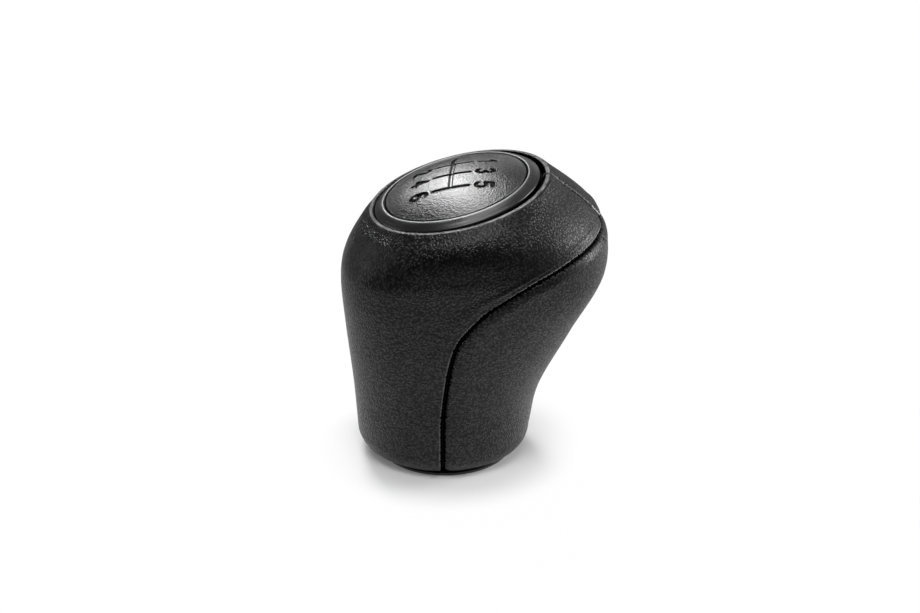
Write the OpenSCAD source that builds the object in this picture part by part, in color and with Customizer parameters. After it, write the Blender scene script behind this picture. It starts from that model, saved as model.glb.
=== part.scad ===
// Gear shift knob with a stitched leather cover, a trim ring and a shift pattern cap.
// Millimetres. +X is the car's forward, +Y its left and +Z up.
// The lever's axis is the Z axis and the foot rests on Z = 0.

/* [Foot] */
// half the foot's width
foot_half = 21.4; // [20.4:0.2:23]
// how much further the foot reaches to the rear than to its sides
foot_rear_more = 2.1; // [1:0.1:3]
// how much further the foot reaches to the front than to its sides
foot_front_more = 1; // [0:0.1:2]

/* [Shank] */
// height of the shank section
shank_z = 21; // [18:0.5:24]
// how much wider the shank is than the foot, at each side
shank_flare = 0.8; // [0.2:0.2:2]
// how much further the shank's rear reaches than the foot's
shank_rear_flare = 1; // [0.4:0.2:2.4]
// how much further the shank's front reaches than the foot's
shank_front_flare = 3; // [2:0.2:4.8]

/* [Neck] */
// rear of the neck
neck_rear = 26.3; // [24:0.1:28]
// front of the neck
neck_front = 34.1; // [31:0.1:36]
// height of the neck section
neck_z = 38.5; // [36:0.5:42]
// half the neck's width
neck_half = 25; // [23:0.2:27]

/* [Head] */
// rear of the head
head_rear = 27.2; // [25:0.2:29]
// height of the head's rear
head_rear_z = 51.6; // [49:0.2:54]
// front of the head
head_front = 42.3; // [38:0.1:44]
// height of the head's front
head_front_z = 55; // [53:0.2:58]
// half the head's width
head_half = 27.4; // [26:0.2:29]

/* [Shoulder] */
// rear of the shoulder
shoulder_rear = 25.8; // [25:0.2:27]
// height of the shoulder's rear
shoulder_rear_z = 58.8; // [57:0.2:60]
// front of the shoulder
shoulder_front = 40.2; // [38:0.2:42]
// height of the shoulder's front
shoulder_front_z = 68.2; // [66:0.2:69]
// how much further the shoulder bulges at each side than the head
shoulder_bulge = 1; // [0.2:0.1:1.6]
// how far the padding swells at each side of the ring, over the shoulder
shoulder_swell = 1.5; // [0:0.1:2]

/* [Trim ring] */
// tilt of the ring, front up
ring_tilt = 13.6; // [11:0.2:16]
// centre of the ring forward of the lever's axis
ring_x = 3; // [1:0.2:5]
// height of the ring's centre
ring_z = 76.2; // [75.2:0.2:78]
// radius of the ring's opening
ring_in = 19; // [18:0.1:19.6]
// width of the sloping bezel
bezel_w = 3.1; // [2.6:0.1:3.6]
// fall of the bezel from its inner to its outer edge
bezel_fall = 1.35; // [1:0.05:1.7]
// wall of the ring's skirt
ring_wall = 1.3; // [1:0.1:1.6]
// depth from the bezel's edge to the skirt's foot
ring_depth = 9.2; // [8.6:0.1:10]

/* [Pattern cap] */
// height of the cap's crown over its rim
cap_crown = 3.8; // [2.6:0.1:4.4]
// wall of the cap
cap_wall = 1.7; // [1.4:0.1:2]
// depth of the cap's rim
cap_depth = 3.9; // [3.4:0.1:4.2]
// number of snap legs
cap_legs = 3; // [2:1:4]

/* [Leather] */
// thickness of the leather
leather = 1.2; // [1:0.05:1.3]
// radius of the leather's turn into the gap round the ring
rim_roll = 1.4; // [1.35:0.05:1.6]
// width of the open seams
seam_w = 0.9; // [0.8:0.05:1.1]
// how deep an edge of a panel rolls down into its seam
seam_dip = 0.55; // [0.3:0.05:0.8]
// radius of the sewing thread
thread_r = 0.26; // [0.22:0.01:0.28]
// angle of the side seams from the front, in the shank
seam_side = 90; // [86:0.5:94]
// share of the height at which the side seams meet the nose
seam_nose = 0.757; // [0.74:0.001:0.77]

/* [Core] */
// radius of the central boss
boss_r = 11; // [10.5:0.1:12]
// wall of the hollow part of the boss
boss_wall = 2.4; // [2:0.1:3]
// how far the flange at the foot reaches past the boss
flange_reach = 2.6; // [2.5:0.1:3]
// thickness of the flange
flange_t = 2.4; // [2:0.1:3]
// thickness of the dish under the ring
dish_t = 1.8; // [1.5:0.1:2.4]
// radius of the socket for the lever
socket_r = 8.2; // [7.6:0.1:8.4]
// depth of the lever's socket from the foot
socket_depth = 13; // [11:0.5:15]

/* [Threaded insert] */
// radius of the insert's tapped hole
tap_r = 5.35; // [4.9:0.05:5.9]
// outer radius of the insert
insert_r = 7.6; // [7.2:0.1:7.8]
// length of the insert
insert_len = 20; // [16:0.5:22]
// width of each groove round the insert
groove_w = 2; // [1.5:0.1:3]
// depth of the grooves
groove_depth = 0.7; // [0.4:0.1:0.9]

/* [Foot collar] */
// thickness of the collar's plate
collar_t = 0.65; // [0.5:0.05:0.7]
// how far the collar's plate reaches under the leather's hem at the rear
collar_cover = 0.7; // [0.4:0.1:1.2]
// number of snap hooks
collar_hooks = 3; // [2:1:4]

/* [Clearances] */
// gap between the cap's rim and the ring
cap_gap = 0.25; // [0.15:0.05:0.35]
// gap between the ring and the leather round it
ring_gap = 0.35; // [0.25:0.05:0.6]
// gap between the leather's hem and the core's flange
hem_gap = 1.3; // [1:0.1:2]
// gap that the glue fills between leather and foam
glue_gap = 0.26; // [0.24:0.01:0.3]
// gap between the foam and the core
foam_gap = 0.2; // [0.15:0.05:0.3]
// gap round each snap hook
hook_gap = 0.3; // [0.2:0.05:0.4]
// gap between the boss and the collar's hooks
hook_space = 0.4; // [0.3:0.05:0.6]
// gap round the threaded insert
insert_gap = 0.1; // [0.05:0.05:0.15]
// gap between the collar and the boss in it
collar_gap = 0.1; // [0.05:0.05:0.2]

/* [Hidden] */
cover_black = [0.09, 0.09, 0.095];
plastic_black = [0.05, 0.05, 0.055];
nylon_grey = [0.2, 0.2, 0.21];
foam_grey = [0.32, 0.32, 0.33];
brass = [0.78, 0.62, 0.32];
thread_black = [0.03, 0.03, 0.03];

// steps round and along the faceted forms
row_steps = 2;
side_cols = 38;
front_cols = 22;
foam_cols = 42;
thread_sides = 6;

// the foot and the shank from the lever's axis
foot_rear = foot_half + foot_rear_more;
foot_front = foot_half + foot_front_more;
shank_half = foot_half + shank_flare;
shank_rear = foot_rear + shank_rear_flare;
shank_front = foot_front + shank_front_flare;

// the flange, the leather's turn under the foot that ends at it, and the collar that holds the hem
flange_r = boss_r + flange_reach;
foot_round = foot_half - flange_r - hem_gap;
collar_r = foot_rear - foot_round + collar_cover;
hem_clear = 0.15;
hem_lift = collar_t + hem_clear;
foot_z = foot_round + hem_lift;
flange_z = hem_lift + leather + glue_gap;

// shares of the hem under the foot and of the leather's end in the gap round the ring
u_hem = -0.15;
u_gap = 1.05;
// the share of the height, down from the ring, over which the padding swells
swell_span = 0.23;

// the cover's turn into the gap round the ring, in the ring's own frame
ring_out = ring_in + bezel_w;
roll_start = 50;
roll_end = -70;
roll_sink = 0.25;
roll_r = ring_out + ring_gap + rim_roll;
roll_w = -bezel_fall - roll_sink - rim_roll;
rim_r = roll_r + rim_roll * sin(roll_start);
rim_w = roll_w + rim_roll * cos(roll_start);

// the snap hooks: height of the barb, thickness, width and how far the barb catches
hook_h = 1.2;
hook_t = 1.2;
hook_w = 5;
ring_hook_w = 6;
barb = 0.8;
hook_in = boss_r + hook_space;
ring_hook_t = ring_wall - 0.2;

// the dish lies under the ring's skirt, and the foam's well goes round both
skirt_in = ring_in - 0.1;
skirt_r = skirt_in + ring_wall;
dish_edge = 0.1;
dish_r = skirt_r + dish_edge;
dish_top = -ring_depth;
well_r = dish_r + foam_gap;
well_room = 1;
well_w = dish_top - dish_t - hook_h - well_room;
well_lip = 2.6;
well_fall = 0.5;

// the bezel's rounded edges, its thickness and the fillet under it
bezel_lip = 0.35;
bezel_edge = 0.25;
bezel_t = 0.6;
bezel_fillet = 0.45;

// the ledge in the ring that carries the cap
ledge_drop = 0.3;
ledge_w = -cap_depth - ledge_drop;
ledge_t = 1.4;
ledge_reach = 2.9;
cap_sink = 0.15;
cap_edge = 0.25;

// the insert ends under a web with a hole for the lever's tip
insert_z = socket_depth;
web_z = insert_z + insert_len;
web_t = 3;
web_clear = 0.6;
web_hole = tap_r + web_clear;

function ring_point(r, w, a) =
    [ring_x - w * sin(ring_tilt) + r * cos(a) * cos(ring_tilt),
     r * sin(a),
     ring_z + w * cos(ring_tilt) + r * cos(a) * sin(ring_tilt)];

// height of the plane that lies w along the ring's axis, over the point x
function ring_plane(x, w) = ring_z + (w + (x - ring_x) * sin(ring_tilt)) / cos(ring_tilt);

// each station of the cover: rear x, rear z, front x, front z, half width, roundness of its section
stations = [
    [-foot_rear, foot_z, foot_front, foot_z, foot_half, 2.05],
    [-shank_rear, shank_z, shank_front, shank_z, shank_half, 2.1],
    [-neck_rear, neck_z, neck_front, neck_z, neck_half, 2.25],
    [-head_rear, head_rear_z, head_front, head_front_z, head_half, 2.35],
    [-shoulder_rear, shoulder_rear_z, shoulder_front, shoulder_front_z, head_half + shoulder_bulge, 2.3],
    [ring_point(rim_r, rim_w, 180)[0], ring_point(rim_r, rim_w, 180)[2],
     ring_point(rim_r, rim_w, 0)[0], ring_point(rim_r, rim_w, 0)[2], rim_r, 2]];

// a smooth curve through a list of keys, from 0 to the last one
function key(keys, i) =
    i < 0 ? 2 * keys[0] - keys[1] :
    i > len(keys) - 1 ? 2 * keys[len(keys) - 1] - keys[len(keys) - 2] : keys[i];
function curve(keys, x) =
    let (i = min(max(floor(x), 0), len(keys) - 2), f = x - i,
         a = key(keys, i - 1), b = key(keys, i), c = key(keys, i + 1), d = key(keys, i + 2))
    b + f * ((c - a) / 2 + f * (a - 2.5 * b + 2 * c - d / 2 + f * (1.5 * (b - c) + (d - a) / 2)));

function signed_power(v, p) = sign(v) * pow(abs(v), p);

// the cover's outer surface: the share u is 0 at the first station and 1 at the last;
// a is the angle round the knob, 0 at the front and positive on its left
function cover(u, a) = u > 1 ? cover_roll(u, a) : cover_side(u, a);
function cover_roll(u, a) =
    let (t = roll_start + (u - 1) / (u_gap - 1) * (roll_end - roll_start))
    ring_point(roll_r + rim_roll * sin(t), roll_w + rim_roll * cos(t), a);
function cover_side(u, a) =
    let (k = curve(stations, max(u, 0) * (len(stations) - 1)),
         t = min(u, 0) / u_hem * 90,
         inset = foot_round * (1 - cos(t)),
         x = min(max(1 - u, 0) / swell_span, 1),
         swell = shoulder_swell * 6.75 * x * pow(1 - x, 2) * abs(sin(a)),
         hx = (k[2] - k[0]) / 2, hz = (k[3] - k[1]) / 2,
         f = 1 - inset / norm([hx, hz]),
         c = signed_power(cos(a), 2 / k[5]), s = signed_power(sin(a), 2 / k[5]))
    [(k[0] + k[2]) / 2 + hx * f * c, (k[4] - inset + swell) * s,
     (k[1] + k[3]) / 2 + hz * f * c - foot_round * sin(t)];

function unit(v) = v / norm(v);
function cover_normal(u, a) =
    let (du = 0.004, da = 0.8, lo = max(u - du, u_hem), hi = min(u + du, u_gap))
    unit(cross(cover(u, a + da) - cover(u, a - da), cover(hi, a) - cover(lo, a)));
// a point so deep under the cover's outer surface
function under(u, a, depth) = cover(u, a) - depth * cover_normal(u, a);

// the seams as [angle, share] keys: up the side and forward to the nose
side_keys = [
    [seam_side - 1, u_hem], [seam_side - 1, u_hem / 2], [seam_side - 1, 0],
    [seam_side, 0.13], [seam_side + 0.8, 0.24], [seam_side + 1.6, 0.37],
    [seam_side, 0.49], [seam_side - 6.1, 0.6], [68, 0.703],
    [48, seam_nose - 0.003], [29, seam_nose + 0.014], [12, seam_nose + 0.017]];
// the upper panel turns at the nose into the top seam and goes on to the ring
upper_edge = [each side_keys, [6, seam_nose + 0.016], [2.2, seam_nose + 0.026], [0.4, seam_nose + 0.052],
    [0, 0.83], [0, 0.88], [0, 0.94], [0, 1], [0, (1 + u_gap) / 2], [0, u_gap]];
front_edge = [each side_keys, [6, seam_nose + 0.01], [2.5, seam_nose + 0.006]];
// shares that the upper panel's rows have at the rear, and the front panel's at the front
upper_rear = [u_hem, u_hem / 2, 0, 0.13, 0.24, 0.38, 0.5, 0.61, 0.7, 0.78,
    0.835, 0.865, 0.88, 0.89, 0.9, 0.915, 0.935, 0.965, 1, (1 + u_gap) / 2, u_gap];
front_mid = [u_hem, u_hem / 2, 0, 0.13, 0.24, 0.36, 0.46, 0.54,
    0.595, 0.64, 0.675, 0.695, 0.703, 0.735];

// a point of an edge, moved d mm across the edge on the surface; side is 1 upwards and -1 downwards
function edge_point(keys, x, d, side) =
    let (h = 0.02, p = curve(keys, x),
         t = curve(keys, min(x + h, len(keys) - 1)) - curve(keys, max(x - h, 0)),
         u0 = max(p[1] - 0.01, u_hem), u1 = min(p[1] + 0.01, u_gap),
         ga = norm(cover(p[1], p[0] + 1.5) - cover(p[1], p[0] - 1.5)) / 3,
         gu = norm(cover(u1, p[0]) - cover(u0, p[0])) / (u1 - u0),
         m = unit([t[0] * ga, t[1] * gu]))
    [p[0] + side * d * m[1] / ga, min(max(p[1] - side * d * m[0] / gu, u_hem), u_gap)];

// the strip along a panel's edge: distance from the edge and depth of the rolled leather there
strip = [[0, seam_dip], [0.4 * seam_w, 0.36 * seam_dip], [seam_w, 0.1 * seam_dip]];
strip_w = 2 * seam_w;

// one row of a panel as [share, angle, depth], with the angle rising from one edge to the other
function upper_row(x) =
    let (e = edge_point(upper_edge, x, strip_w + seam_w / 2, 1),
         rear = curve([for (r = upper_rear) [r]], x)[0],
         edge = [for (s = strip) [edge_point(upper_edge, x, s[0] + seam_w / 2, 1), s[1]]])
    [for (s = edge) [s[0][1], s[0][0] - 360, s[1]],
     for (j = [0:side_cols]) let (v = j / side_cols, q = pow(1 - sin(180 * v), 5))
         [rear + (e[1] - rear) * q, e[0] - 360 + (360 - 2 * e[0]) * v, 0],
     for (j = [len(edge) - 1:-1:0]) let (s = edge[j]) [s[0][1], -s[0][0], s[1]]];
function front_row(x) =
    let (e = edge_point(front_edge, x, strip_w + seam_w / 2, -1),
         mid = curve([for (r = front_mid) [r]], x)[0],
         edge = [for (s = strip) [edge_point(front_edge, x, s[0] + seam_w / 2, -1), s[1]]])
    [for (s = edge) [s[0][1], -s[0][0], s[1]],
     for (j = [0:front_cols]) let (v = j / front_cols, q = pow(1 - sin(180 * v), 1.5))
         [mid + (e[1] - mid) * q, -e[0] + 2 * e[0] * v, 0],
     for (j = [len(edge) - 1:-1:0]) let (s = edge[j]) [s[0][1], s[0][0], s[1]]];
// the front panel's last row, nearly level under the nose
nose_bow = 0.006;
function nose_row(n) =
    let (e = edge_point(front_edge, len(front_edge) - 1, seam_w / 2, -1))
    [for (j = [0:n - 1]) let (t = 2 * j / (n - 1) - 1) [e[1] - nose_bow * (1 - t * t), e[0] * t, seam_dip]];

// a closed sheet between two grids of points, the first one outside
module sheet(outer, inner) {
    rows = len(outer);
    cols = len(outer[0]);
    all = rows * cols;
    points = [for (r = outer) each r, for (r = inner) each r];
    quads = [
        for (i = [0:rows - 2], j = [0:cols - 2]) let (a = i * cols + j, b = a + cols)
            each [[a, b, b + 1], [a, b + 1, a + 1]],
        for (i = [0:rows - 2], j = [0:cols - 2]) let (a = all + i * cols + j, b = a + cols)
            each [[a, b + 1, b], [a, a + 1, b + 1]]];
    ring = [
        for (j = [0:cols - 1]) j,
        for (i = [1:rows - 1]) i * cols + cols - 1,
        for (j = [cols - 2:-1:0]) (rows - 1) * cols + j,
        for (i = [rows - 2:-1:1]) i * cols];
    rim = [for (i = [0:len(ring) - 1]) let (a = ring[i], b = ring[(i + 1) % len(ring)])
        each [[a, b, b + all], [a, b + all, a + all]]];
    polyhedron(points, [each quads, each rim], convexity = 8);
}

// a closed tube from rings of points; wrap joins the last ring to the first, else both ends are capped
module tube(rings, wrap = false) {
    n = len(rings[0]);
    m = len(rings);
    points = [for (r = rings) each r];
    sides = [for (i = [0:m - (wrap ? 1 : 2)], j = [0:n - 1])
        let (k = (j + 1) % n, up = ((i + 1) % m) * n, a = i * n + j, b = i * n + k, c = up + j, d = up + k)
        each [[a, c, d], [a, d, b]]];
    ends = wrap ? [] : [[for (j = [0:n - 1]) j], [for (j = [n - 1:-1:0]) (m - 1) * n + j]];
    polyhedron(points, [each sides, each ends], convexity = 8);
}

module at_ring() {
    translate([ring_x, 0, ring_z]) rotate([0, -ring_tilt, 0]) children();
}

module round_copies(n) {
    for (i = [0:n - 1]) rotate([0, 0, i * 360 / n]) children();
}

module upper_leather() {
    last = (len(upper_edge) - 1) * row_steps;
    rows = [for (i = [0:last]) upper_row(i / row_steps)];
    color(cover_black)
        sheet([for (r = rows) [for (p = r) under(p[0], p[1], p[2])]],
              [for (r = rows) [for (p = r) under(p[0], p[1], leather)]]);
}

module front_leather() {
    last = (len(front_edge) - 1) * row_steps;
    sides = [for (i = [0:last - 1]) front_row(i / row_steps)];
    rows = [each sides, nose_row(len(sides[0]))];
    color(cover_black)
        sheet([for (r = rows) [for (p = r) under(p[0], p[1], p[2])]],
              [for (r = rows) [for (p = r) under(p[0], p[1], leather)]]);
}

// a thread that lies in a seam just over the leather's inner face, through [angle, share] keys
thread_lift = 0.1;
module seam_thread(keys, steps) {
    depth = leather - thread_r - thread_lift;
    spots = [for (i = [0:(len(keys) - 1) * steps]) curve(keys, i / steps)];
    path = [for (p = spots) under(p[1], p[0], depth)];
    out = [for (p = spots) cover_normal(p[1], p[0])];
    rings = [for (i = [0:len(path) - 1])
        let (t = unit(path[min(i + 1, len(path) - 1)] - path[max(i - 1, 0)]), s = unit(cross(t, out[i])))
        [for (j = [0:thread_sides - 1]) let (q = j * 360 / thread_sides)
            path[i] + thread_r * (cos(q) * out[i] + sin(q) * s)]];
    color(thread_black) tube(rings);
}

// the top seam's thread starts over the nose, and a side seam's ends beside it
nose_space = 0.043;
side_end = 3;
module top_seam_thread() {
    start = seam_nose + nose_space;
    seam_thread([for (i = [0:4]) [0, start + (1 - start) * i / 4]], 4);
}

module left_seam_thread() {
    seam_thread([for (i = [1:len(front_edge) - side_end]) front_edge[i]], row_steps);
}

module right_seam_thread() {
    mirror([0, 1, 0]) left_seam_thread();
}

// the padding between the core and the leather, moulded round the core
module foam_pad() {
    skin = leather + glue_gap;
    shares = [each [for (i = [4:-1:1]) u_hem * i / 4], each [for (i = [0:19]) i / 20], 0.975];
    outer = [for (u = shares) [for (j = [0:foam_cols - 1]) under(u, j * 360 / foam_cols, skin)]];
    in_r = boss_r + foam_gap;
    foot_r = flange_r + foam_gap;
    hook_top = flange_z + flange_t + hook_h + foam_gap;
    wells = [[well_r + well_lip, roll_w - well_fall], [well_r, roll_w - 1.2 * well_fall], [well_r, well_w]];
    inner = [
        for (w = wells) [for (j = [0:foam_cols - 1]) ring_point(w[0], w[1], j * 360 / foam_cols)],
        [for (j = [0:foam_cols - 1]) let (x = in_r * cos(j * 360 / foam_cols))
            [x, in_r * sin(j * 360 / foam_cols), ring_plane(x, well_w)]],
        for (p = [[in_r, hook_top + foot_r - in_r], [foot_r, hook_top], [foot_r, flange_z]])
            [for (j = [0:foam_cols - 1]) let (a = j * 360 / foam_cols) [p[0] * cos(a), p[0] * sin(a), p[1]]]];
    color(foam_grey) tube([each outer, each inner], wrap = true);
}

// the moulded core: flange, boss with the insert's seat, and the dish that takes the ring
module core() {
    color(nylon_grey)
    difference() {
        union() {
            translate([0, 0, flange_z]) cylinder(r = flange_r, h = flange_t, $fn = 96);
            cylinder(r = boss_r, h = ring_z, $fn = 96);
            at_ring() translate([0, 0, dish_top - dish_t]) cylinder(r = dish_r, h = dish_t, $fn = 96);
        }
        // everything over the dish
        at_ring() translate([0, 0, dish_top]) cylinder(r = dish_r + 2, h = ring_z, $fn = 96);
        // lever's socket, the insert's seat, the hole in the web and the hollow over it
        translate([0, 0, -1]) cylinder(r = socket_r, h = insert_z + 1, $fn = 96);
        cylinder(r = insert_r + insert_gap, h = web_z, $fn = 96);
        cylinder(r = web_hole, h = web_z + web_t + 1, $fn = 96);
        translate([0, 0, web_z + web_t]) cylinder(r = boss_r - boss_wall, h = ring_z, $fn = 96);
        // windows for the collar's hooks and for the ring's
        round_copies(collar_hooks)
            translate([hook_in - hook_gap, -hook_w / 2 - hook_gap, flange_z - 1])
                cube([2 * hook_gap + hook_t, hook_w + 2 * hook_gap, flange_t + 2]);
        at_ring() rotate([0, 0, 45]) round_copies(4)
            translate([skirt_in - hook_gap, -ring_hook_w / 2 - hook_gap, dish_top - dish_t - 1])
                cube([dish_r, ring_hook_w + 2 * hook_gap, dish_t + 2]);
    }
}

// the insert, knurled by grooves so that it can't turn or pull out
module threaded_insert() {
    color(brass)
    difference() {
        translate([0, 0, insert_z]) cylinder(r = insert_r, h = insert_len, $fn = 96);
        translate([0, 0, insert_z - 1]) cylinder(r = tap_r, h = insert_len + 2, $fn = 96);
        for (z = [0.3, 0.7])
            translate([0, 0, insert_z + insert_len * z - groove_w / 2])
                difference() {
                    cylinder(r = insert_r + 1, h = groove_w, $fn = 96);
                    translate([0, 0, -1]) cylinder(r = insert_r - groove_depth, h = groove_w + 2, $fn = 96);
                }
    }
}

// the collar under the foot clamps the leather's hem and carries the resting face
collar_step = 0.3;
module foot_collar() {
    color(plastic_black) {
        difference() {
            union() {
                cylinder(r = collar_r, h = collar_t, $fn = 96);
                cylinder(r = flange_r - collar_step, h = flange_z, $fn = 96);
            }
            translate([0, 0, -1]) cylinder(r = boss_r + collar_gap, h = flange_z + 2, $fn = 96);
        }
        catch_z = flange_z + flange_t;
        round_copies(collar_hooks) {
            translate([hook_in, -hook_w / 2, collar_t]) cube([hook_t, hook_w, catch_z + hook_h - collar_t]);
            translate([hook_in, -hook_w / 2, catch_z]) cube([hook_t + barb, hook_w, hook_h]);
        }
    }
}

// half a profile of the ring, turned round its axis; the bezel slopes out and its inner edge is rounded
module trim_ring() {
    bore = ring_in + 0.05;
    under_w = -bezel_fall - bezel_t;
    lip = [for (a = [180:-30:60]) [bore + bezel_lip * (1 + cos(a)), bezel_lip * (sin(a) - 1)]];
    edge = [for (a = [60:-30:0])
        [ring_out - bezel_edge * (1 - cos(a)), bezel_edge * (sin(a) - 1) - bezel_fall]];
    fillet = [for (a = [90:30:180])
        [skirt_r + bezel_fillet * (1 + cos(a)), under_w - bezel_fillet * (2 - sin(a))]];
    profile = [
        [bore, ledge_w], each lip, each edge, [ring_out, under_w], each fillet,
        [skirt_r, dish_top], [skirt_in, dish_top], [skirt_in, ledge_w - ledge_t],
        [ring_in - ledge_reach, ledge_w - ledge_t], [ring_in - ledge_reach, ledge_w]];
    color(plastic_black)
    at_ring() {
        rotate_extrude($fn = 128) polygon(profile);
        rotate([0, 0, 45]) round_copies(4)
            translate([skirt_in, -ring_hook_w / 2, dish_top - dish_t - hook_h]) {
                cube([ring_hook_t, ring_hook_w, dish_t + hook_h + 1]);
                translate([-barb, 0, 0]) cube([barb + ring_hook_t / 2, ring_hook_w, hook_h]);
            }
    }
}

// the domed cap rests with its rim on the ring's ledge and snaps under it
module pattern_cap() {
    cap_r = ring_in - cap_gap;
    dome_r = (ring_in * ring_in + cap_crown * cap_crown) / (2 * cap_crown);
    dome_w = cap_crown - dome_r - cap_sink;
    steps = 14;
    top = [for (i = [0:steps]) let (x = (cap_r - cap_edge) * i / steps)
        [x, dome_w + sqrt(dome_r * dome_r - x * x)]];
    below = [for (i = [steps:-1:0]) let (x = (cap_r - cap_wall) * i / steps)
        [x, dome_w - cap_wall + sqrt(dome_r * dome_r - x * x)]];
    rim = [[cap_r, top[steps][1] - cap_edge], [cap_r, ledge_w], [cap_r - cap_wall, ledge_w]];
    leg_r = ring_in - ledge_reach - hook_gap;
    barb_w = ledge_w - ledge_t - hook_h - 0.1;
    color(plastic_black)
    at_ring() {
        rotate_extrude($fn = 128) polygon([each top, each rim, each below]);
        round_copies(cap_legs)
            translate([leg_r - hook_t, -hook_w / 2, barb_w]) {
                cube([hook_t, hook_w, -barb_w]);
                cube([hook_t + barb, hook_w, hook_h]);
            }
    }
}

core();
threaded_insert();
foot_collar();
foam_pad();
front_leather();
upper_leather();
top_seam_thread();
left_seam_thread();
right_seam_thread();
trim_ring();
pattern_cap();
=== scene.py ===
"""A gear shift knob: stitched leather, a trim ring and a domed cap with the shift pattern."""
import math

import bpy
import numpy as np
from mathutils import Matrix, Vector


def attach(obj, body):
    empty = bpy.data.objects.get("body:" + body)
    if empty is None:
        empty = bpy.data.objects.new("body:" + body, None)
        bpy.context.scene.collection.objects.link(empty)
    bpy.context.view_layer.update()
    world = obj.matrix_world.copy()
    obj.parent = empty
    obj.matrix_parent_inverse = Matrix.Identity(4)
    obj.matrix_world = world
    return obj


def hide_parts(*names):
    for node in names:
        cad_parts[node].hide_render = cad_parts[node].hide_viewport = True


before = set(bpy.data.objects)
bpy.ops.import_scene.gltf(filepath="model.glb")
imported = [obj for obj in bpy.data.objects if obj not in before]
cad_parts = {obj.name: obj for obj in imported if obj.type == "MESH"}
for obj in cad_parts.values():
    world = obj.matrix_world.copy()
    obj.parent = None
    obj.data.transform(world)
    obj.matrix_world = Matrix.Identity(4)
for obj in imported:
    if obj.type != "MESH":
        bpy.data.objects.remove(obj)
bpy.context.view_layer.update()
MM = 0.001

# the camera that was fitted to the photograph: its pixels, how many of them make a millimetre at the target,
# and where the origin falls
PHOTO_W, PHOTO_H, SENSOR = 920.0, 613.0, 36.0
SCALE, ORIGIN_PX = 3.778, (445.5, 442.6)
AZIMUTH, ELEVATION, DISTANCE = 1.22, 27.1, 800.0
TARGET = np.array([8.0, 0.0, 38.0])

# the leather cover, as the CAD builds it: rear x, rear z, front x, front z, half width, roundness
FOOT_ROUND, FOOT_Z = 6.5, 7.3
RING_TILT, RING_X, RING_Z, RING_IN, BEZEL_W, BEZEL_FALL = 13.6, 3.0, 76.2, 19.0, 3.1, 1.35
RING_GAP, RIM_ROLL = 0.35, 1.4
ROLL_START, ROLL_END = 50.0, -70.0
U_HEM, U_GAP = -0.15, 1.05
SWELL, SWELL_SPAN = 1.5, 0.23
ROLL_R = RING_IN + BEZEL_W + RING_GAP + RIM_ROLL
ROLL_W = -BEZEL_FALL - 0.25 - RIM_ROLL
CT, ST = math.cos(math.radians(RING_TILT)), math.sin(math.radians(RING_TILT))


def ring_point(r, w, a):
    """A point at radius r, height w and angle a in radians, in the tilted ring's own frame."""
    r, w, a = np.broadcast_arrays(r, w, a)
    x, z = RING_X - w * ST + r * np.cos(a) * CT, RING_Z + w * CT + r * np.cos(a) * ST
    return np.stack([x, r * np.sin(a), z], -1)


def rim_station():
    r = ROLL_R + RIM_ROLL * math.sin(math.radians(ROLL_START))
    w = ROLL_W + RIM_ROLL * math.cos(math.radians(ROLL_START))
    rear, front = ring_point(r, w, math.pi), ring_point(r, w, 0.0)
    return [rear[0], rear[2], front[0], front[2], r, 2.0]


STATIONS = np.array([
    [-23.5, FOOT_Z, 22.4, FOOT_Z, 21.4, 2.05],
    [-24.5, 21.0, 25.4, 21.0, 22.2, 2.1],
    [-26.3, 38.5, 34.1, 38.5, 25.0, 2.25],
    [-27.2, 51.6, 42.3, 55.0, 27.4, 2.35],
    [-25.8, 58.8, 40.2, 68.2, 28.4, 2.3],
    rim_station()])


def curve(keys, x):
    """A smooth curve through the keys, from 0 to the last one."""
    keys = np.asarray(keys, float)
    if keys.ndim == 1:
        keys = keys[:, None]
    ext = np.vstack([2 * keys[0] - keys[1], keys, 2 * keys[-1] - keys[-2]])
    x = np.clip(np.asarray(x, float), 0, len(keys) - 1 - 1e-9)
    i = np.floor(x).astype(int)
    f = (x - i)[..., None]
    a, b, c, d = ext[i], ext[i + 1], ext[i + 2], ext[i + 3]
    return b + f * ((c - a) / 2 + f * (a - 2.5 * b + 2 * c - d / 2 + f * (1.5 * (b - c) + (d - a) / 2)))


def cover(u, a):
    """The cover's outer surface in mm: u is a share of the height, a an angle from the front in degrees."""
    u, a = np.broadcast_arrays(np.asarray(u, float), np.radians(np.asarray(a, float)))
    k = curve(STATIONS, np.clip(u, 0, 1) * (len(STATIONS) - 1))
    t = np.clip(u / U_HEM, 0, 1) * math.pi / 2
    inset = FOOT_ROUND * (1 - np.cos(t))
    hx, hz = (k[..., 2] - k[..., 0]) / 2, (k[..., 3] - k[..., 1]) / 2
    f = 1 - inset / np.hypot(hx, hz)
    e = 2 / k[..., 5]
    c = np.sign(np.cos(a)) * np.abs(np.cos(a)) ** e
    s = np.sign(np.sin(a)) * np.abs(np.sin(a)) ** e
    # the padding swells at both sides of the ring and rounds the shoulder there
    x = np.clip((1 - u) / SWELL_SPAN, 0, 1)
    swell = SWELL * 6.75 * x * (1 - x) ** 2 * np.abs(np.sin(a))
    side = np.stack([(k[..., 0] + k[..., 2]) / 2 + hx * f * c, (k[..., 4] - inset + swell) * s,
                     (k[..., 1] + k[..., 3]) / 2 + hz * f * c - FOOT_ROUND * np.sin(t)], -1)
    g = np.radians(ROLL_START + np.clip((u - 1) / (U_GAP - 1), 0, 1) * (ROLL_END - ROLL_START))
    roll = ring_point(ROLL_R + RIM_ROLL * np.sin(g), ROLL_W + RIM_ROLL * np.cos(g), a)
    return np.where((u > 1)[..., None], roll, side)


def unit(v):
    return v / np.maximum(np.linalg.norm(v, axis=-1, keepdims=True), 1e-12)


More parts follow.
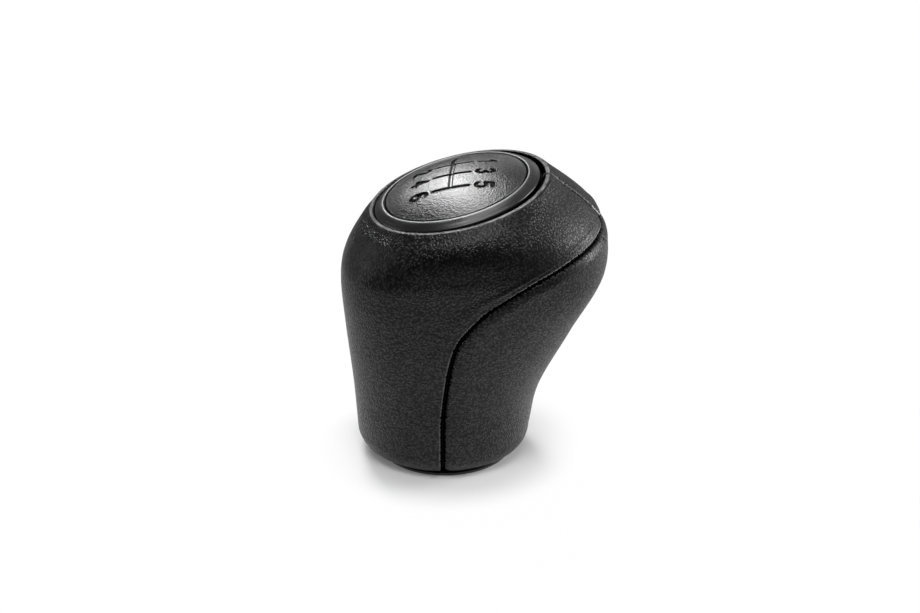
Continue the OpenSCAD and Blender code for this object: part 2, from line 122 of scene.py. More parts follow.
def cover_normal(u, a):
    du, da = 0.003, 0.6
    up = cover(np.minimum(u + du, U_GAP), a) - cover(np.maximum(u - du, U_HEM), a)
    return unit(np.cross(cover(u, a + da) - cover(u, a - da), up))


# the seams as angle and share, and the shares that the rows have at the rear and at the front
NOSE = 0.757
SIDE_KEYS = [[89, U_HEM], [89, U_HEM / 2], [89, 0], [90, 0.13], [90.8, 0.24], [91.6, 0.37], [90, 0.49],
             [83.9, 0.6], [68, 0.703], [48, NOSE - 0.003], [29, NOSE + 0.014], [12, NOSE + 0.017]]
UPPER_EDGE = np.array(SIDE_KEYS + [[6, NOSE + 0.016], [2.2, NOSE + 0.026], [0.4, NOSE + 0.052], [0, 0.83],
                                   [0, 0.88], [0, 0.94], [0, 1], [0, (1 + U_GAP) / 2], [0, U_GAP]])
UPPER_REAR = [U_HEM, U_HEM / 2, 0, 0.13, 0.24, 0.38, 0.5, 0.61, 0.7, 0.78, 0.835, 0.865, 0.88, 0.89, 0.9,
              0.915, 0.935, 0.965, 1, (1 + U_GAP) / 2, U_GAP]
FRONT_EDGE = np.array(SIDE_KEYS + [[6, NOSE + 0.012], [0.8, NOSE + 0.01]])
FRONT_MID = [U_HEM, U_HEM / 2, 0, 0.13, 0.24, 0.36, 0.46, 0.54, 0.595, 0.64, 0.675, 0.695, 0.703, 0.712]
# each seam has a strip beside it: its width and its columns' distances from the seam, in mm
STRIP = 1.8
COLUMNS = [0.06, 0.16, 0.26, 0.36, 0.46, 0.56, 0.68, 0.8, 0.95, 1.12, 1.32, 1.55]
# mm from row to row along a seam, and how the columns past the strip spread
ROW_STEP, GROW = 0.19, 1.5


def edge_point(keys, x, d, side):
    """Points of an edge moved d mm across it on the surface; side is 1 upwards and -1 downwards."""
    h = 0.02
    p = curve(keys, x)
    t = curve(keys, np.minimum(x + h, len(keys) - 1)) - curve(keys, np.maximum(x - h, 0))
    lo, hi = np.maximum(p[:, 1] - 0.01, U_HEM), np.minimum(p[:, 1] + 0.01, U_GAP)
    ga = np.linalg.norm(cover(p[:, 1], p[:, 0] + 1.5) - cover(p[:, 1], p[:, 0] - 1.5), axis=-1) / 3
    gu = np.linalg.norm(cover(hi, p[:, 0]) - cover(lo, p[:, 0]), axis=-1) / (hi - lo)
    m = unit(np.stack([t[:, 0] * ga, t[:, 1] * gu], -1))
    u = np.clip(p[:, 1] - side * d * m[:, 0] / gu, U_HEM, U_GAP)
    return np.stack([p[:, 0] + side * d * m[:, 1] / ga, u], -1)


def even_steps(keys, step):
    """Curve parameters a fixed length apart along an edge, and the length to each."""
    x = np.linspace(0, len(keys) - 1, 4000)
    k = curve(keys, x)
    p = cover(k[:, 1], k[:, 0])
    s = np.concatenate([[0], np.cumsum(np.linalg.norm(np.diff(p, axis=0), axis=-1))])
    want = np.linspace(0, s[-1], int(round(s[-1] / step)) + 1)
    return np.interp(want, s, x), want


def panel_grid(keys, mids, side, cols, power):
    """A panel's grid as share and angle, its points, their distances from the seam and the rows' along it."""
    x, along = even_steps(keys, ROW_STEP)
    e = edge_point(keys, x, STRIP, side)
    mid = curve(mids, x)[:, 0]
    half = np.linspace(0, 1, cols + 1) ** GROW / 2
    v = np.concatenate([half, 1 - half[-2::-1]])
    q = (1 - np.sin(np.pi * v)) ** power
    if side > 0:
        a = e[:, :1] - 360 + (360 - 2 * e[:, :1]) * v
    else:
        a = -e[:, :1] + 2 * e[:, :1] * v
    u = mid[:, None] + (e[:, 1:] - mid[:, None]) * q
    beside = [edge_point(keys, x, s, side) for s in COLUMNS]
    left = np.stack([np.stack([s[:, 1], s[:, 0] - 360 if side > 0 else -s[:, 0]], -1) for s in beside], 1)
    right = np.stack([np.stack([s[:, 1], -s[:, 0] if side > 0 else s[:, 0]], -1) for s in beside[::-1]], 1)
    g = np.concatenate([left, np.stack([u, a], -1), right], 1)
    if side < 0:
        # one more row closes the middle of the nose
        g = np.concatenate([g, g[-1:] * np.array([1.0, 0.0])])
        x, along = np.append(x, x[-1]), np.append(along, along[-1])
    p = cover(g[..., 0], g[..., 1])
    n = len(COLUMNS)
    steps = np.linalg.norm(np.diff(p[:, n:-n], axis=1), axis=-1)
    run = np.concatenate([np.zeros((len(x), 1)), np.cumsum(steps, 1)], 1)
    d = np.minimum(run, run[:, -1:] - run) + STRIP
    edge = np.tile(np.array(COLUMNS), (len(x), 1))
    return g, p, np.concatenate([edge, d, edge[:, ::-1]], 1), along


def mesh_from_grid(name, p, material, wrap=False, attributes=()):
    rows, cols = p.shape[:2]
    i, j = np.meshgrid(np.arange(rows - 1), np.arange(cols if wrap else cols - 1), indexing="ij")
    a, b = i * cols + j, i * cols + (j + 1) % cols
    faces = np.stack([a, b, b + cols, a + cols], -1).reshape(-1, 4)
    me = bpy.data.meshes.new(name)
    me.vertices.add(rows * cols)
    me.vertices.foreach_set("co", (p.reshape(-1, 3) * MM).ravel())
    me.loops.add(faces.size)
    me.loops.foreach_set("vertex_index", faces.ravel())
    me.polygons.add(len(faces))
    me.polygons.foreach_set("loop_start", np.arange(0, faces.size, 4))
    me.polygons.foreach_set("loop_total", np.full(len(faces), 4))
    me.polygons.foreach_set("use_smooth", np.ones(len(faces), bool))
    me.update(calc_edges=True)
    me.validate()
    for key, values in attributes:
        at = me.attributes.new(key, "FLOAT", "POINT")
        at.data.foreach_set("value", np.asarray(values, np.float32).ravel())
    ob = bpy.data.objects.new(name, me)
    bpy.context.scene.collection.objects.link(ob)
    me.materials.append(material)
    return ob


# materials

def nodes_of(name):
    m = bpy.data.materials.new(name)
    m.use_nodes = True
    nt = m.node_tree
    return m, nt, nt.nodes["Principled BSDF"]


def node(nt, kind, inputs=None, **props):
    n = nt.nodes.new(kind)
    for k, v in props.items():
        setattr(n, k, v)
    for k, v in (inputs or {}).items():
        if isinstance(v, bpy.types.NodeSocket):
            nt.links.new(v, n.inputs[k])
        else:
            n.inputs[k].default_value = v
    return n


def math_node(nt, op, a, b=0.0, c=0.0):
    return node(nt, "ShaderNodeMath", {0: a, 1: b, 2: c}, operation=op).outputs[0]


def spread(nt, value, lo, hi, out_lo, out_hi):
    return node(nt, "ShaderNodeMapRange", {"Value": value, "From Min": lo, "From Max": hi, "To Min": out_lo,
                                           "To Max": out_hi}).outputs["Result"]


def times(nt, a, b):
    return math_node(nt, "MULTIPLY", a, b)


def grey(value, blue=0.0):
    return (value, value, value + blue, 1)


def mixed(nt, share, first, second):
    return node(nt, "ShaderNodeMix", {0: share, 6: first, 7: second}, data_type="RGBA").outputs[2]


def noise(nt, co, scale, detail, **more):
    return node(nt, "ShaderNodeTexNoise", {"Vector": co, "Scale": scale, "Detail": detail, **more}).outputs


def attribute_node(nt, name):
    return node(nt, "ShaderNodeAttribute", attribute_name=name).outputs["Fac"]


def add_bump(nt, bsdf, height, strength, distance):
    bump = node(nt, "ShaderNodeBump", {"Height": height, "Strength": strength, "Distance": distance})
    nt.links.new(bump.outputs[0], bsdf.inputs["Normal"])


def leather_material():
    m, nt, bsdf = nodes_of("leather")
    co = node(nt, "ShaderNodeTexCoord").outputs["Object"]
    warp = noise(nt, co, 620.0, 2.0)["Color"]
    shift = node(nt, "ShaderNodeVectorMath", {0: warp, 1: (0.5, 0.5, 0.5)}, operation="SUBTRACT").outputs[0]
    shift = node(nt, "ShaderNodeVectorMath", {0: shift, "Scale": 0.0006}, operation="SCALE").outputs[0]
    where = node(nt, "ShaderNodeVectorMath", {0: co, 1: shift}, operation="ADD").outputs[0]
    # pebbles with creases between them, two sizes
    cells = node(nt, "ShaderNodeTexVoronoi", {"Vector": where, "Scale": 1600.0, "Smoothness": 0.2},
                 feature="SMOOTH_F1")
    pebble = spread(nt, cells.outputs["Distance"], 0.05, 0.6, 1.0, 0.0)
    small = node(nt, "ShaderNodeTexVoronoi", {"Vector": where, "Scale": 2500.0}, feature="DISTANCE_TO_EDGE")
    small = spread(nt, small.outputs["Distance"], 0.0, 0.12, 0.0, 1.0)
    fine = noise(nt, co, 5200.0, 2.0)["Fac"]
    patch = noise(nt, co, 75.0, 3.0)["Fac"]
    # deeper behind, where it is handled less
    axes = node(nt, "ShaderNodeSeparateXYZ", {0: co}).outputs
    depth = spread(nt, patch, 0.38, 0.62, 0.5, 1.2)
    depth = times(nt, depth, spread(nt, axes["X"], -0.022, 0.034, 1.85, 0.45))
    # wrinkles that run round the grip, below the head
    flat = node(nt, "ShaderNodeMapping", {"Vector": where, "Scale": (1.0, 1.0, 3.2)}).outputs[0]
    crease = noise(nt, flat, 210.0, 4.0, Distortion=0.8)["Fac"]
    crease = math_node(nt, "ABSOLUTE", math_node(nt, "SUBTRACT", crease, 0.5))
    crease = spread(nt, crease, 0.0, 0.045, -0.55, 0.0)
    crease = times(nt, crease, spread(nt, axes["Z"], 0.048, 0.06, 1.0, 0.0))
    height = times(nt, math_node(nt, "MULTIPLY_ADD", small, 0.12, pebble), depth)
    height = math_node(nt, "MULTIPLY_ADD", fine, 0.15, height)
    add_bump(nt, bsdf, math_node(nt, "ADD", height, crease), 1.0, 0.00011)
    tone = mixed(nt, pebble, grey(0.001), grey(0.0038, 0.0002))
    # painted shade: no light gets down into the seams, so they, the gap round the ring and one stitch are
    # painted near black and lose their shine
    painted_shade = attribute_node(nt, "painted_shade")
    tone = mixed(nt, painted_shade, tone, grey(0.0003))
    # painted highlight: the seams' rolled edges and the ring's lip get a pale line, broken by the grain
    rim = times(nt, attribute_node(nt, "rim"), spread(nt, fine, 0.35, 0.6, 0.5, 1.0))
    tone = mixed(nt, rim, tone, grey(0.6, 0.002))
    nt.links.new(tone, bsdf.inputs["Base Color"])
    # the nose is handled most and has a softer, broader shine
    rough = spread(nt, math_node(nt, "MULTIPLY_ADD", patch, 0.5, pebble), 0.3, 1.3, 0.36, 0.22)
    rough = math_node(nt, "ADD", rough, spread(nt, axes["X"], 0.016, 0.034, 0.0, 0.16))
    nt.links.new(rough, bsdf.inputs["Roughness"])
    shine = spread(nt, pebble, 0.0, 0.8, 0.27, 0.68)
    shine = times(nt, shine, spread(nt, axes["X"], 0.018, 0.036, 1.0, 1.1))
    shine = times(nt, shine, math_node(nt, "SUBTRACT", 1.0, painted_shade))
    nt.links.new(shine, bsdf.inputs["Specular IOR Level"])
    return m


PLASTIC_SHINE = 0.8


def plastic_material(name, colour, rough, grain_scale, grain_depth, shade_attribute=None):
    m, nt, bsdf = nodes_of(name)
    co = node(nt, "ShaderNodeTexCoord").outputs["Object"]
    grain = noise(nt, co, grain_scale, 3.0, Roughness=0.6)["Fac"]
    speck = node(nt, "ShaderNodeTexVoronoi", {"Vector": co, "Scale": grain_scale * 0.6}).outputs["Distance"]
    add_bump(nt, bsdf, math_node(nt, "MULTIPLY_ADD", speck, 0.5, grain), 0.8, grain_depth)
    wear = noise(nt, co, 140.0, 4.0)["Fac"]
    nt.links.new(spread(nt, wear, 0.3, 0.7, rough - 0.05, rough + 0.05), bsdf.inputs["Roughness"])
    base = mixed(nt, grain, (*(0.7 * c for c in colour), 1), (*colour, 1))
    if shade_attribute:
        # painted shade in the engraved grooves: darker, and with a tenth of the shine
        cut = attribute_node(nt, shade_attribute)
        base = mixed(nt, cut, base, grey(0.001))
        shine = spread(nt, cut, 0.0, 1.0, PLASTIC_SHINE, 0.1 * PLASTIC_SHINE)
        nt.links.new(shine, bsdf.inputs["Specular IOR Level"])
    else:
        bsdf.inputs["Specular IOR Level"].default_value = PLASTIC_SHINE
    nt.links.new(base, bsdf.inputs["Base Color"])
    return m


def brass_material():
    m, nt, bsdf = nodes_of("brass")
    co = node(nt, "ShaderNodeTexCoord").outputs["Object"]
    flat = node(nt, "ShaderNodeMapping", {"Vector": co, "Scale": (1.0, 1.0, 30.0)}).outputs[0]
    lines = noise(nt, flat, 260.0, 3.0)["Fac"]
    add_bump(nt, bsdf, lines, 0.3, 0.00004)
    nt.links.new(mixed(nt, lines, (0.5, 0.33, 0.12, 1), (0.78, 0.56, 0.25, 1)), bsdf.inputs["Base Color"])
    nt.links.new(spread(nt, lines, 0.3, 0.7, 0.22, 0.4), bsdf.inputs["Roughness"])
    bsdf.inputs["Metallic"].default_value = 1.0
    return m


def foam_material():
    m, nt, bsdf = nodes_of("foam")
    co = node(nt, "ShaderNodeTexCoord").outputs["Object"]
    cells = node(nt, "ShaderNodeTexVoronoi", {"Vector": co, "Scale": 1400.0}).outputs["Distance"]
    add_bump(nt, bsdf, cells, 0.8, 0.0003)
    nt.links.new(mixed(nt, cells, grey(0.001), grey(0.005, 0.0002)), bsdf.inputs["Base Color"])
    bsdf.inputs["Roughness"].default_value = 0.9
    bsdf.inputs["Specular IOR Level"].default_value = 0.05
    return m


def thread_material():
    m, nt, bsdf = nodes_of("thread")
    co = node(nt, "ShaderNodeTexCoord").outputs["Object"]
    twist = node(nt, "ShaderNodeTexWave", {"Vector": co, "Scale": 700.0, "Distortion": 2.0},
                 bands_direction="DIAGONAL").outputs["Fac"]
    add_bump(nt, bsdf, twist, 0.6, 0.00008)
    nt.links.new(mixed(nt, twist, grey(0.0006), grey(0.002)), bsdf.inputs["Base Color"])
    bsdf.inputs["Roughness"].default_value = 0.7
    bsdf.inputs["Specular IOR Level"].default_value = 0.06
    return m


LEATHER = leather_material()
RING_PLASTIC = plastic_material("ring_plastic", (0.015, 0.015, 0.0155), 0.3, 2400.0, 0.00003)
CAP_PLASTIC = plastic_material("cap_plastic", (0.013, 0.013, 0.0135), 0.21, 2600.0, 0.0001, shade_attribute="cut")
NYLON = plastic_material("nylon", (0.03, 0.03, 0.031), 0.55, 1500.0, 0.00003)
COLLAR = plastic_material("collar_plastic", (0.013, 0.013, 0.0135), 0.5, 1700.0, 0.00003)
BRASS, FOAM, THREAD = brass_material(), foam_material(), thread_material()


# the leather panels: mm from stitch to stitch, and for one turn of the thread's plies
STITCH, PLY_TURN = 1.5, 1.1


def bell(x, centre, width):
    return np.exp(-((x - centre) / width) ** 2)


def ease(x):
    x = np.clip(x, 0, 1)
    return x * x * (3 - 2 * x)


def near_angle(degrees, centre, width):
    """1 at an angle of the ring, and less round it."""
    return np.exp(-(((degrees - centre + 180) % 360 - 180) / width) ** 2)


def pull(d, along, total, upper):
    """How far the leather stands off the plain surface, d mm from the seam, and its painted shade and painted
    highlight.
    """
    wide = 1.0
    if upper:
        # the top seam, past the nose, closes towards the ring
        wide = 1 - 0.6 * np.clip((along - (total - 11.0)) / 8.0, 0, 1)
    start, w, deep = (0.3 * wide, 0.6, 1.0 * wide) if upper else (0.38, 0.7, 0.95)
    turn = np.clip((start + w - d) / w, 0, 1)
    fold = -deep * (1 - np.sqrt(np.clip(1 - turn ** 2, 0, 1)))
    fold = fold - 0.5 * wide * np.clip((start - d) / start, 0, 1)
    # stitches a little uneven in pitch and pull, stronger towards the nose
    phase = along / STITCH + 0.16 * np.sin(along * 1.31) + 0.1 * np.sin(along * 3.7 + 1.0)
    teeth = np.clip(np.cos(2 * np.pi * phase), 0, 1) ** 1.5 * (0.8 + 0.3 * np.sin(along * 2.3))
    nose = bell(along, total - (18.0 if upper else 2.0), 22.0)
    if upper:
        form = 0.12 * bell(d, 1.05, 0.6) + 0.24 * bell(d, 3.8, 2.6) - 0.1 * bell(d, 0, 2.2)
        stitch = -0.34 * teeth * bell(d, 0.62, 0.32) * wide ** 2
    else:
        form = 0.2 * bell(d, 4.0, 2.4) - (0.32 + 0.14 * nose) * bell(d, 0, 1.7)
        # no stitch at the middle of the nose, where the three edges meet
        stitch = -(0.44 + 0.08 * nose) * teeth * bell(d, 0.72, 0.32 + 0.1 * nose)
        stitch = stitch * np.clip((total - along - 0.5) / 0.7, 0, 1)
    # painted shade where the fold and the stitches go deep
    painted_shade = np.clip((-fold - 1.3 * stitch - 0.2) / 0.25, 0, 1)
    rim = 0 * painted_shade
    # a painted highlight along the upper panel's rolled edge, weaker past the nose
    if upper:
        rim = (0.3 + 0.7 * nose) * bell(d, 0.74 * np.clip(wide, 0.6, 1), 0.13) * (1 - painted_shade)
        rim = rim * np.where(along > total - 17, 0.3, 1.0)
    return fold + form * np.clip(wide, 0.5, 1) + stitch, painted_shade, rim


LONE_STITCH = np.array([41.5, -5.8, 64.55])


def panel(name, node_name, keys, mids, side, cols, power):
    g, p, d, along = panel_grid(keys, mids, side, cols, power)
    n = cover_normal(g[..., 0], g[..., 1])
    fade = np.clip((g[..., 0] - U_HEM) / 0.1, 0, 1) * np.clip((U_GAP - g[..., 0]) / 0.05, 0.25, 1)
    off, painted_shade, rim = pull(d, along[:, None], along[-1], side > 0)
    off = np.where(off > 0, off * fade, off)
    # a painted highlight runs along the lip round the ring too, uneven round it
    turn = np.radians(g[..., 1])
    painted_lip_highlight = 0.65 * bell(g[..., 0], 1.013, 0.0028) * (0.6 + 0.4 * np.sin(7 * turn + 2 * np.sin(23 * turn)))
    rim = np.maximum(rim, painted_lip_highlight)
    # behind, the lip lies against the ring; in front it stands off, and the gap is painted in shade
    hug, part = near_angle(np.degrees(turn), -148, 58), near_angle(np.degrees(turn), -38, 45)
    reach = ease((g[..., 0] - 0.955) / 0.035) * np.interp(g[..., 0], [0, 1.02, U_GAP], [1, 1, 0.3])
    zero = np.zeros_like(turn)
    outward = ring_point(zero + 1, zero, turn) - ring_point(zero, zero, turn)
    axis = ring_point(0, 1, 0) - ring_point(0, 0, 0)
    move = outward * (0.15 * part - 1.3 * hug)[..., None] + axis * (0.3 * hug - 0.15 * part)[..., None]
    p = p + reach[..., None] * move
    gap = np.clip((g[..., 0] - 1.021) / 0.006, 0, 1) * (1 - 0.95 * np.clip(1.6 * hug, 0, 1))
    painted_shade = np.maximum(painted_shade, gap)
    # one stitch shows under the nose, dented and painted in shade
    dot = bell(np.linalg.norm(p - LONE_STITCH, axis=-1), 0, 0.62)
    off, painted_shade = off - 0.4 * dot, np.maximum(painted_shade, np.clip(2.2 * dot - 0.6, 0, 1))
    ob = mesh_from_grid(name, p + n * off[..., None], LEATHER, attributes=[("painted_shade", painted_shade), ("rim", rim)])
    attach(ob, "root")
    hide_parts(node_name)


panel("upper_cover", "upper_leather", UPPER_EDGE, UPPER_REAR, 1, 50, 5.0)
panel("front_cover", "front_leather", FRONT_EDGE, FRONT_MID, -1, 30, 1.5)


# the trim ring, turned round its own axis

def lathe(name, profile, material, node_name, around=384):
    prof = np.array(profile)
    a = np.linspace(0, 2 * np.pi, around, endpoint=False)
    p = ring_point(prof[:, 0][:, None], prof[:, 1][:, None], a[None, :])
    ob = mesh_from_grid(name, p, material, wrap=True)
    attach(ob, "root")
    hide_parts(node_name)


def arc(cx, cw, r, a0, a1, n):
    t = np.radians(np.linspace(a0, a1, n))
    return list(zip(cx + r * np.cos(t), cw + r * np.sin(t)))


ring_out = RING_IN + BEZEL_W
bezel = [(RING_IN + 0.62 + t * (BEZEL_W - 1.1), 0.02 - (BEZEL_FALL - 0.12) * (0.3 * t + 0.7 * t * t))
         for t in np.linspace(0.1, 0.94, 9)]
ring_profile = (
    [(RING_IN + 0.05, -4.2), (RING_IN + 0.05, -1.0)]
    + arc(RING_IN + 0.57, -0.5, 0.52, 180, 84, 13)
    + bezel
    + arc(ring_out - 0.5, -BEZEL_FALL - 0.3, 0.45, 48, 0, 7)
    + [(ring_out - 0.05, -BEZEL_FALL - 0.9), (ring_out - 1.4, -BEZEL_FALL - 1.3), (20.2, -3.2), (20.2, -9.2),
       (18.9, -9.2), (18.9, -5.6), (16.1, -5.6), (16.1, -4.2), (RING_IN + 0.05, -4.2)])
lathe("bezel_ring", ring_profile, RING_PLASTIC, "trim_ring")


# the cap, with the shift pattern cut into its dome

def sweep(cx, cy, rx, ry, a0, a1, n=14):
    t = np.radians(np.linspace(a0, a1, n))
    return [(cx + rx * math.cos(k), cy + ry * math.sin(k)) for k in t]


def digit(which):
    """Strokes of a plain digit, 2.1 wide and 4.3 high, centred."""
    w, h = 1.05, 2.15
    return {
        "1": [[(-0.8, h - 0.95), (0.2, h), (0.2, -h)]],
        "2": [sweep(0, h - w, w, w, 165, -25) + [(-w, -h), (w, -h)]],
        "3": [sweep(-0.08, 1.08, w - 0.05, 1.08, 150, -90) + sweep(-0.08, -1.08, w + 0.05, 1.08, 90, -150)],
        "4": [[(0.55, -h), (0.55, h), (-1.25, -0.8), (1.3, -0.8)]],
        "5": [[(0.95, h), (-0.8, h), (-0.95, 0.3)] + sweep(-0.05, -0.82, w + 0.05, 1.35, 128, -145)],
        "6": [sweep(0.3, 0.15, 1.4, 2.0, 72, 180) + sweep(0, -0.95, 1.1, 1.22, 180, -180, 24)],
    }[which]


GATES, TURN = (6.8, -0.2, -7.25), math.radians(-2.5)
strokes = [[(-4.85, q + 0.05), (4.5, q - 0.05)] for q in GATES]
strokes.append([(-0.55, GATES[0]), (-0.8, 10.0), (-0.35, 13.2)])
# the neutral line: a wider groove with a flat floor between two steep sides, which get painted shade
left_wall, right_wall = [[(-0.62, GATES[2]), (-0.62, GATES[0])]], [[(0.26, GATES[2]), (0.26, GATES[0])]]
for p0, names in ((8.65, "135"), (-8.75, "246")):
    for name, q in zip(names, GATES):
        strokes += [[(p0 + y, q - 0.1 - x) for x, y in s] for s in digit(name)]


def turned(lines):
    c, s = math.cos(TURN), math.sin(TURN)
    return [[(x * c - y * s, x * s + y * c) for x, y in line] for line in lines]


def stroke_distance(lines, p, q):
    best = np.full(p.shape, 1e9)
    for line in turned(lines):
        for (x0, y0), (x1, y1) in zip(line, line[1:]):
            dx, dy = x1 - x0, y1 - y0
            t = np.clip(((p - x0) * dx + (q - y0) * dy) / max(dx * dx + dy * dy, 1e-9), 0, 1)
            best = np.minimum(best, np.hypot(p - x0 - t * dx, q - y0 - t * dy))
    return best


CAP_R, CAP_CROWN, DOME_ROWS = RING_IN - 0.25, 3.8, 128
dome_r = (RING_IN ** 2 + CAP_CROWN ** 2) / (2 * CAP_CROWN)
dome_w = CAP_CROWN - dome_r - 0.15
cap_rim = CAP_R - np.array([0.18, 0.08, 0.02, 0, 0, 0])
radii = np.concatenate([np.linspace(0.02, CAP_R - 0.3, DOME_ROWS), cap_rim])
heights = dome_w + np.sqrt(dome_r ** 2 - np.minimum(radii, CAP_R - 0.3) ** 2)
heights[DOME_ROWS:] -= [0.03, 0.09, 0.17, 0.28, 1.5, 3.9]
ang = np.linspace(0, 2 * np.pi, 560, endpoint=False)
P, Q = radii[:, None] * np.cos(ang), radii[:, None] * np.sin(ang)
dist = stroke_distance(strokes, P, Q)
wall_1, wall_2 = stroke_distance(left_wall, P, Q), stroke_distance(right_wall, P, Q)
cut = ease((0.54 - dist) / 0.14)
trough = ease((0.95 - (wall_1 + wall_2)) / 0.14)
rise = 0.05 * np.exp(-((dist - 0.66) / 0.13) ** 2) * (wall_1 > 0.5) * (wall_2 > 0.4)
W = heights[:, None] - np.maximum(0.45 * cut * (1 - 0.6 * trough), 0.22 * trough) + rise
# painted shade in the grooves, little on the neutral line's flat floor and more on its two sides
groove_shade = np.clip((0.6 - dist) / 0.12, 0, 1) * (1 - 0.9 * trough)
wall_shade = np.maximum(np.clip((0.44 - wall_1) / 0.14, 0, 1), np.clip((0.28 - wall_2) / 0.12, 0, 1))
groove_shade = np.maximum(groove_shade, wall_shade)
W[DOME_ROWS:] = heights[DOME_ROWS:, None]
cap = mesh_from_grid("pattern_dome", ring_point(radii[:, None], W, ang[None, :]), CAP_PLASTIC, wrap=True,
                     attributes=[("cut", groove_shade)])
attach(cap, "root")
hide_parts("pattern_cap")


# the sewing threads, two-ply and pulled down between the stitches

def sewn(name, keys, lo, hi, mirror=1):
    x, along = even_steps(keys, 0.12)
    keep = (x >= lo) & (x <= hi)
    k, along = curve(keys, x[keep]), along[keep]
    n = cover_normal(k[:, 1], k[:, 0])
    path = cover(k[:, 1], k[:, 0]) - n * (0.86 + 0.08 * np.cos(2 * np.pi * along / STITCH))[:, None]
    t = unit(np.gradient(path, axis=0))
    s = unit(np.cross(t, n))
    q = np.linspace(0, 2 * np.pi, 16, endpoint=False)[None, :, None]
    ply = 0.2 + 0.035 * np.cos(2 * q - (2 * np.pi * along / PLY_TURN)[:, None, None])
    p = path[:, None] + ply * (np.cos(q) * n[:, None] + np.sin(q) * s[:, None])
    p[0], p[-1] = path[0], path[-1]
    ob = mesh_from_grid(name + "_twist", p * [1, mirror, 1], THREAD, wrap=True)
    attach(ob, "root")
    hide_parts(name)


sewn("left_seam_thread", FRONT_EDGE, 1, len(FRONT_EDGE) - 3)
sewn("right_seam_thread", FRONT_EDGE, 1, len(FRONT_EDGE) - 3, -1)
sewn("top_seam_thread", UPPER_EDGE, len(SIDE_KEYS) + 3, len(UPPER_EDGE) - 3)


# the insert with its thread for the lever

def insert():
    foot, top, pitch, points = 13.0, 33.0, 1.25, 96
    z = np.linspace(foot, top, 241)
    around = np.linspace(0, 2 * np.pi, points, endpoint=False)
    turn = np.mod(z[:, None] / pitch - around[None, :] / (2 * np.pi), 1.0)
    ends = np.clip(np.minimum(z - foot, top - z) / 0.8, 0, 1)[:, None]
    bore = 5.36 + 0.6 * np.clip(1.2 - np.abs(2 * turn - 1) * 1.5, 0, 1) * ends + 0.4 * (1 - ends)
    outside = [(7.3, top), (7.58, top - 0.3), (7.58, 28.05), (6.92, 27.95), (6.92, 26.05), (7.58, 25.95),
               (7.58, 20.05), (6.92, 19.95), (6.92, 18.05), (7.58, 17.95), (7.58, foot + 0.3), (7.3, foot)]
    r = np.concatenate([bore, np.array([[o[0]] * points for o in outside]), bore[:1]])
    h = np.concatenate([z, [o[1] for o in outside], z[:1]])
    p = np.stack([r * np.cos(around), r * np.sin(around), np.broadcast_to(h[:, None], r.shape)], -1)
    ob = mesh_from_grid("tapped_insert", p, BRASS, wrap=True)
    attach(ob, "root")
    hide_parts("threaded_insert")


insert()

for name, material in (("core", NYLON), ("foot_collar", COLLAR), ("foam_pad", FOAM)):
    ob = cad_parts[name]
    for s in ob.material_slots:
        s.material = material


# floor, light and camera

def floor_material():
    """A white floor that glows to camera and reflections, but keeps the shadow close round the knob."""
    m, nt, bsdf = nodes_of("floor_white")
    bsdf.inputs["Base Color"].default_value = (0.9, 0.9, 0.9, 1)
    bsdf.inputs["Roughness"].default_value = 0.7
    bsdf.inputs["Specular IOR Level"].default_value = 0.2
    path = nt.nodes.new("ShaderNodeLightPath")
    seen = math_node(nt, "MAXIMUM", path.outputs["Is Camera Ray"], path.outputs["Is Glossy Ray"])
    seen = math_node(nt, "MAXIMUM", seen, path.outputs["Is Transmission Ray"])
    glow = node(nt, "ShaderNodeEmission", {"Color": (1, 1, 1, 1), "Strength": 1.0})
    # the shadow shows under the knob and fades out round it
    co = node(nt, "ShaderNodeTexCoord").outputs["Object"]
    away = node(nt, "ShaderNodeVectorMath", {0: co}, operation="LENGTH").outputs["Value"]
    away = node(nt, "ShaderNodeMapRange", {"Value": away, "From Min": 0.022, "From Max": 0.038,
                                           "To Min": 0.12, "To Max": 0.985}, interpolation_type="SMOOTHSTEP")
    share = times(nt, seen, away.outputs["Result"])
    mix = node(nt, "ShaderNodeMixShader", {0: share, 1: bsdf.outputs[0], 2: glow.outputs[0]})
    # reflections see it lit for 0.12 m round a spot at the right behind the knob, and dim past 0.24 m
    spot = node(nt, "ShaderNodeVectorMath", {0: co, 1: (0.07, 0.06, 0)}, operation="SUBTRACT").outputs[0]
    spot = node(nt, "ShaderNodeVectorMath", {0: spot}, operation="LENGTH").outputs["Value"]
    dim = times(nt, path.outputs["Is Glossy Ray"], spread(nt, spot, 0.12, 0.24, 0.0, 0.92))
    black = node(nt, "ShaderNodeEmission", {"Color": (0, 0, 0, 1), "Strength": 0.0})
    mix = node(nt, "ShaderNodeMixShader", {0: dim, 1: mix.outputs[0], 2: black.outputs[0]})
    nt.links.new(mix.outputs[0], nt.nodes["Material Output"].inputs[0])
    return m


me = bpy.data.meshes.new("floor")
me.from_pydata([(-3, -3, 0), (3, -3, 0), (3, 3, 0), (-3, 3, 0)], [], [(0, 1, 2, 3)])
me.materials.append(floor_material())
floor = bpy.data.objects.new("floor", me)
bpy.context.scene.collection.objects.link(floor)

scene = bpy.context.scene
scene.view_settings.view_transform = "Standard"
world = scene.world or bpy.data.worlds.new("world")
scene.world = world
world.use_nodes = True
nt = world.node_tree
nt.nodes.clear()
path = nt.nodes.new("ShaderNodeLightPath")
reflected = math_node(nt, "MAXIMUM", path.outputs["Is Glossy Ray"], path.outputs["Is Transmission Ray"])
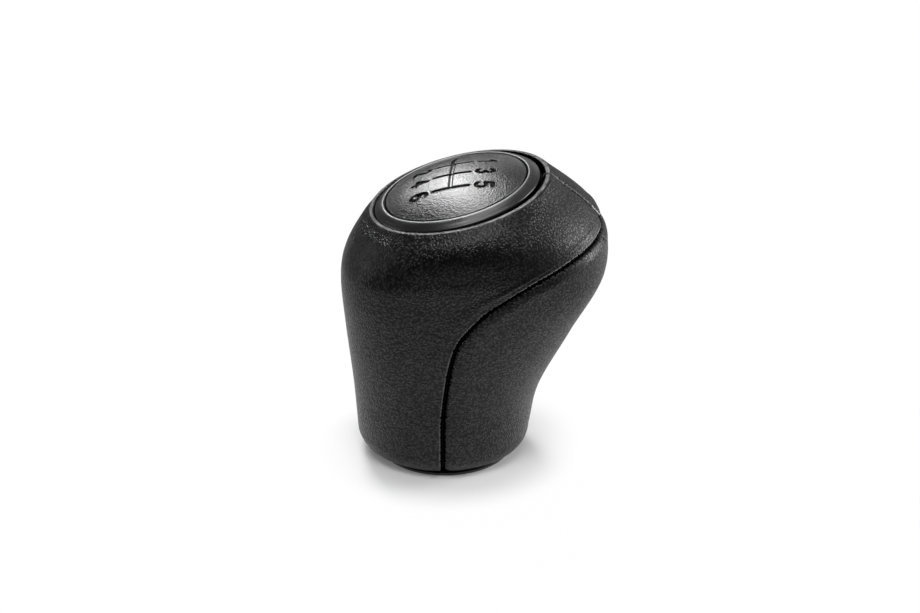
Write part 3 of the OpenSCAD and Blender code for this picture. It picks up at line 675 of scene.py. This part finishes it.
# the camera sees white, and reflections see a bright wall behind the knob and a dim room in front of it;
# other rays get about half of what reflections see
way = node(nt, "ShaderNodeSeparateXYZ", {0: node(nt, "ShaderNodeTexCoord").outputs["Generated"]}).outputs
wall = math_node(nt, "MULTIPLY_ADD", way["X"], 0.85, times(nt, way["Y"], 0.5))
wall = spread(nt, wall, -0.15, 0.45, 0.0, 1.0)
wall = times(nt, wall, spread(nt, way["Z"], 0.02, 0.26, 1.0, 0.22))
level = math_node(nt, "MULTIPLY_ADD", reflected, 0.5, 0.4)
level = math_node(nt, "MULTIPLY_ADD", times(nt, wall, level), 0.94, 0.06)
level = math_node(nt, "MAXIMUM", level, path.outputs["Is Camera Ray"])
sky = node(nt, "ShaderNodeBackground", {"Color": (1, 1, 1, 1), "Strength": level})
out = nt.nodes.new("ShaderNodeOutputWorld")
nt.links.new(sky.outputs[0], out.inputs[0])

centre = Vector((0.006, 0.0, 0.045))


def softbox(name, azimuth, elevation, distance, size, power):
    """Azimuth 0 is the camera's side, 90 the right, 180 behind."""
    a, e = math.radians(azimuth), math.radians(elevation)
    place = centre + Vector((math.sin(a) * math.cos(e), -math.cos(a) * math.cos(e), math.sin(e))) * distance
    data = bpy.data.lights.new(name, "AREA")
    data.shape = "RECTANGLE"
    data.size, data.size_y = size
    data.energy = power
    ob = bpy.data.objects.new(name, data)
    ob.location = place
    ob.rotation_euler = (centre - place).to_track_quat("-Z", "Y").to_euler()
    scene.collection.objects.link(ob)


softbox("left_box", -104, 3, 0.9, (0.5, 0.3), 1.1)
softbox("right_box", 108, 8, 0.9, (0.4, 0.62), 9.0)
softbox("back_box", 199, 42, 1.1, (0.32, 0.9), 9.0)
softbox("top_box", 180, 86, 1.2, (0.55, 0.4), 2.6)
softbox("front_box", -8, 62, 1.2, (0.7, 0.55), 7.5)

a, e = math.radians(AZIMUTH), math.radians(ELEVATION)
right = np.array([math.cos(a), math.sin(a), 0])
up = np.array([-math.sin(a) * math.sin(e), math.cos(a) * math.sin(e), math.cos(e)])
back = np.array([math.sin(a) * math.cos(e), -math.cos(a) * math.cos(e), math.sin(e)])
depth = DISTANCE + TARGET @ back
enlarge = SCALE * DISTANCE / depth
target_px = (ORIGIN_PX[0] + TARGET @ right * enlarge, ORIGIN_PX[1] - TARGET @ up * enlarge)
cam_data = bpy.data.cameras.new("camera")
cam_data.sensor_width = SENSOR
cam_data.lens = SCALE * DISTANCE / PHOTO_W * SENSOR
cam_data.shift_x = (PHOTO_W / 2 - target_px[0]) / PHOTO_W
cam_data.shift_y = (target_px[1] - PHOTO_H / 2) / PHOTO_W
cam_data.clip_start = 0.01
cam = bpy.data.objects.new("camera", cam_data)
eye = (TARGET + back * DISTANCE) * MM
basis = np.stack([right, up, back], 1)
cam.matrix_world = Matrix([[*basis[i], eye[i]] for i in range(3)] + [[0, 0, 0, 1]])
scene.collection.objects.link(cam)
scene.camera = cam
